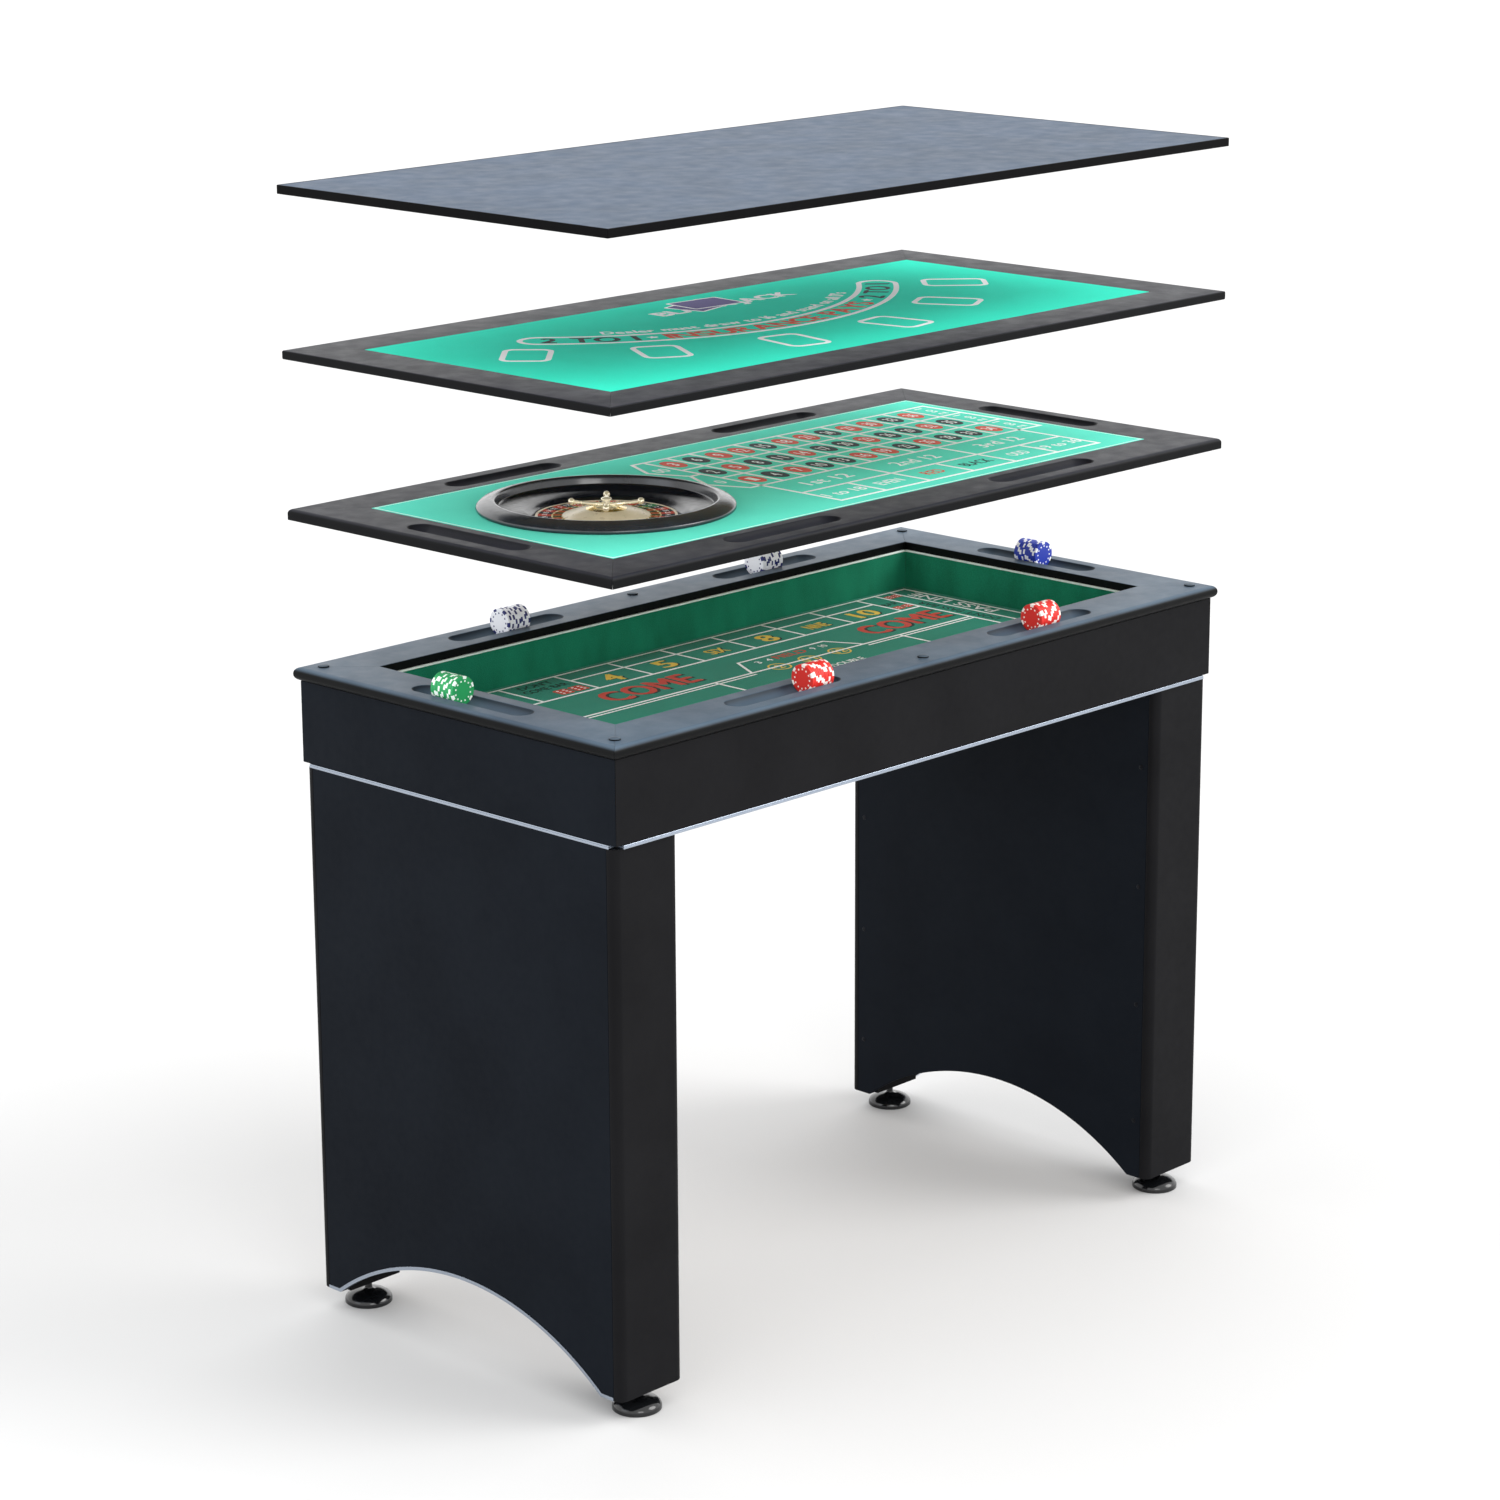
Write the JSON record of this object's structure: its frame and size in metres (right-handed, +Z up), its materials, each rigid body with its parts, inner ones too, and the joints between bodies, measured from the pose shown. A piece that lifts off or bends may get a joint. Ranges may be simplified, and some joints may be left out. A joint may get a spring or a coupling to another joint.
{
  "type": "casino game table",
  "caption": "Craps table on pedestal legs, with a felt-lined well, chip troughs, and a roulette board, a blackjack board and a dining top stacked above it.",
  "frame": {"origin": "on the floor under the middle of the table", "axes": "+Z up, +X along the table's length with the roulette wheel towards -X, -Y the long front side"},
  "size_m": [1.219, 0.61, 1.556],
  "materials": {
    "rail_laminate": "satin black laminate over fibreboard",
    "panel_laminate": "matt black laminate over fibreboard",
    "board_laminate": "satin black laminate over fibreboard",
    "dining_laminate": "satin slate laminate",
    "raw_board": "bare board and softwood",
    "craps_baize": "dark green felt over board",
    "felted_wall": "board covered in dark green felt",
    "board_baize": "board covered in bright green printed felt",
    "bright_strip": "bright silver",
    "cap_rubber": "moulded black rubber",
    "gloss_foot": "glossy black",
    "wheel_plastic": "glossy black",
    "wheel_head_plastic": "cream with red and black pockets",
    "turret_brass": "polished, pale gold"
  },
  "bodies": {
    "table": {"rail_front": "rail_laminate", "apron_front": "panel_laminate", "strip_front": "bright_strip", "well_wall_front": "felted_wall", "rail_right": "rail_laminate", "apron_right": "panel_laminate", "strip_right": "bright_strip", "well_wall_right": "felted_wall", "rail_back": "rail_laminate", "apron_back": "panel_laminate", "strip_back": "bright_strip", "well_wall_back": "felted_wall", "rail_left": "rail_laminate", "apron_left": "panel_laminate", "strip_left": "bright_strip", "well_wall_left": "felted_wall", "cap_front_left": "cap_rubber", "cap_front_middle": "cap_rubber", "cap_front_right": "cap_rubber", "cap_back_left": "cap_rubber", "cap_back_middle": "cap_rubber", "cap_back_right": "cap_rubber", "craps_bed": "raw_board", "craps_felt": "craps_baize", "left_leg_outer_panel": "panel_laminate", "left_leg_inner_panel": "panel_laminate", "left_leg_arch_edging": "bright_strip", "left_leg_beam": "raw_board", "left_leg_front_stile": "panel_laminate", "left_leg_front_foot_block": "raw_board", "left_leg_back_stile": "panel_laminate", "left_leg_back_foot_block": "raw_board", "right_leg_outer_panel": "panel_laminate", "right_leg_inner_panel": "panel_laminate", "right_leg_arch_edging": "bright_strip", "right_leg_beam": "raw_board", "right_leg_front_stile": "panel_laminate", "right_leg_front_foot_block": "raw_board", "right_leg_back_stile": "panel_laminate", "right_leg_back_foot_block": "raw_board"},
    "roulette_board": {"roulette_frame_front": "board_laminate", "roulette_frame_right": "board_laminate", "roulette_frame_back": "board_laminate", "roulette_frame_left": "board_laminate", "roulette_field": "board_baize", "wheel_bowl": "wheel_plastic", "wheel_spindle": "bright_strip"},
    "wheel_rotor": {"wheel_head": "wheel_head_plastic", "wheel_turret": "turret_brass"},
    "blackjack_board": {"blackjack_frame_front": "board_laminate", "blackjack_frame_right": "board_laminate", "blackjack_frame_back": "board_laminate", "blackjack_frame_left": "board_laminate", "blackjack_field": "board_baize", "blackjack_underframe": "board_laminate"},
    "dining_board": {"dining_top": "dining_laminate"},
    "leveller_front_left": {"foot_front_left": "gloss_foot"},
    "leveller_back_left": {"foot_back_left": "gloss_foot"},
    "leveller_front_right": {"foot_front_right": "gloss_foot"},
    "leveller_back_right": {"foot_back_right": "gloss_foot"}
  },
  "joints": [
    {"name": "roulette_board_lift", "type": "slide", "parent": "table", "child": "roulette_board", "axis": [0, 0, 1], "range_m": [-0.1964, 0]},
    {"name": "wheel_spin", "type": "hinge", "parent": "roulette_board", "child": "wheel_rotor", "pos_m": [-0.32, 0, 1.119], "axis": [0, 0, 1], "continuous": true},
    {"name": "blackjack_board_lift", "type": "slide", "parent": "roulette_board", "child": "blackjack_board", "axis": [0, 0, 1], "range_m": [-0.1804, 0]},
    {"name": "dining_board_lift", "type": "slide", "parent": "blackjack_board", "child": "dining_board", "axis": [0, 0, 1], "range_m": [-0.2037, 0]},
    {"name": "leveller_front_left_screw", "type": "slide", "parent": "table", "child": "leveller_front_left", "axis": [0, 0, -1], "range_m": [0, 0.012]},
    {"name": "leveller_back_left_screw", "type": "slide", "parent": "table", "child": "leveller_back_left", "axis": [0, 0, -1], "range_m": [0, 0.012]},
    {"name": "leveller_front_right_screw", "type": "slide", "parent": "table", "child": "leveller_front_right", "axis": [0, 0, -1], "range_m": [0, 0.012]},
    {"name": "leveller_back_right_screw", "type": "slide", "parent": "table", "child": "leveller_back_right", "axis": [0, 0, -1], "range_m": [0, 0.012]}
  ]
}
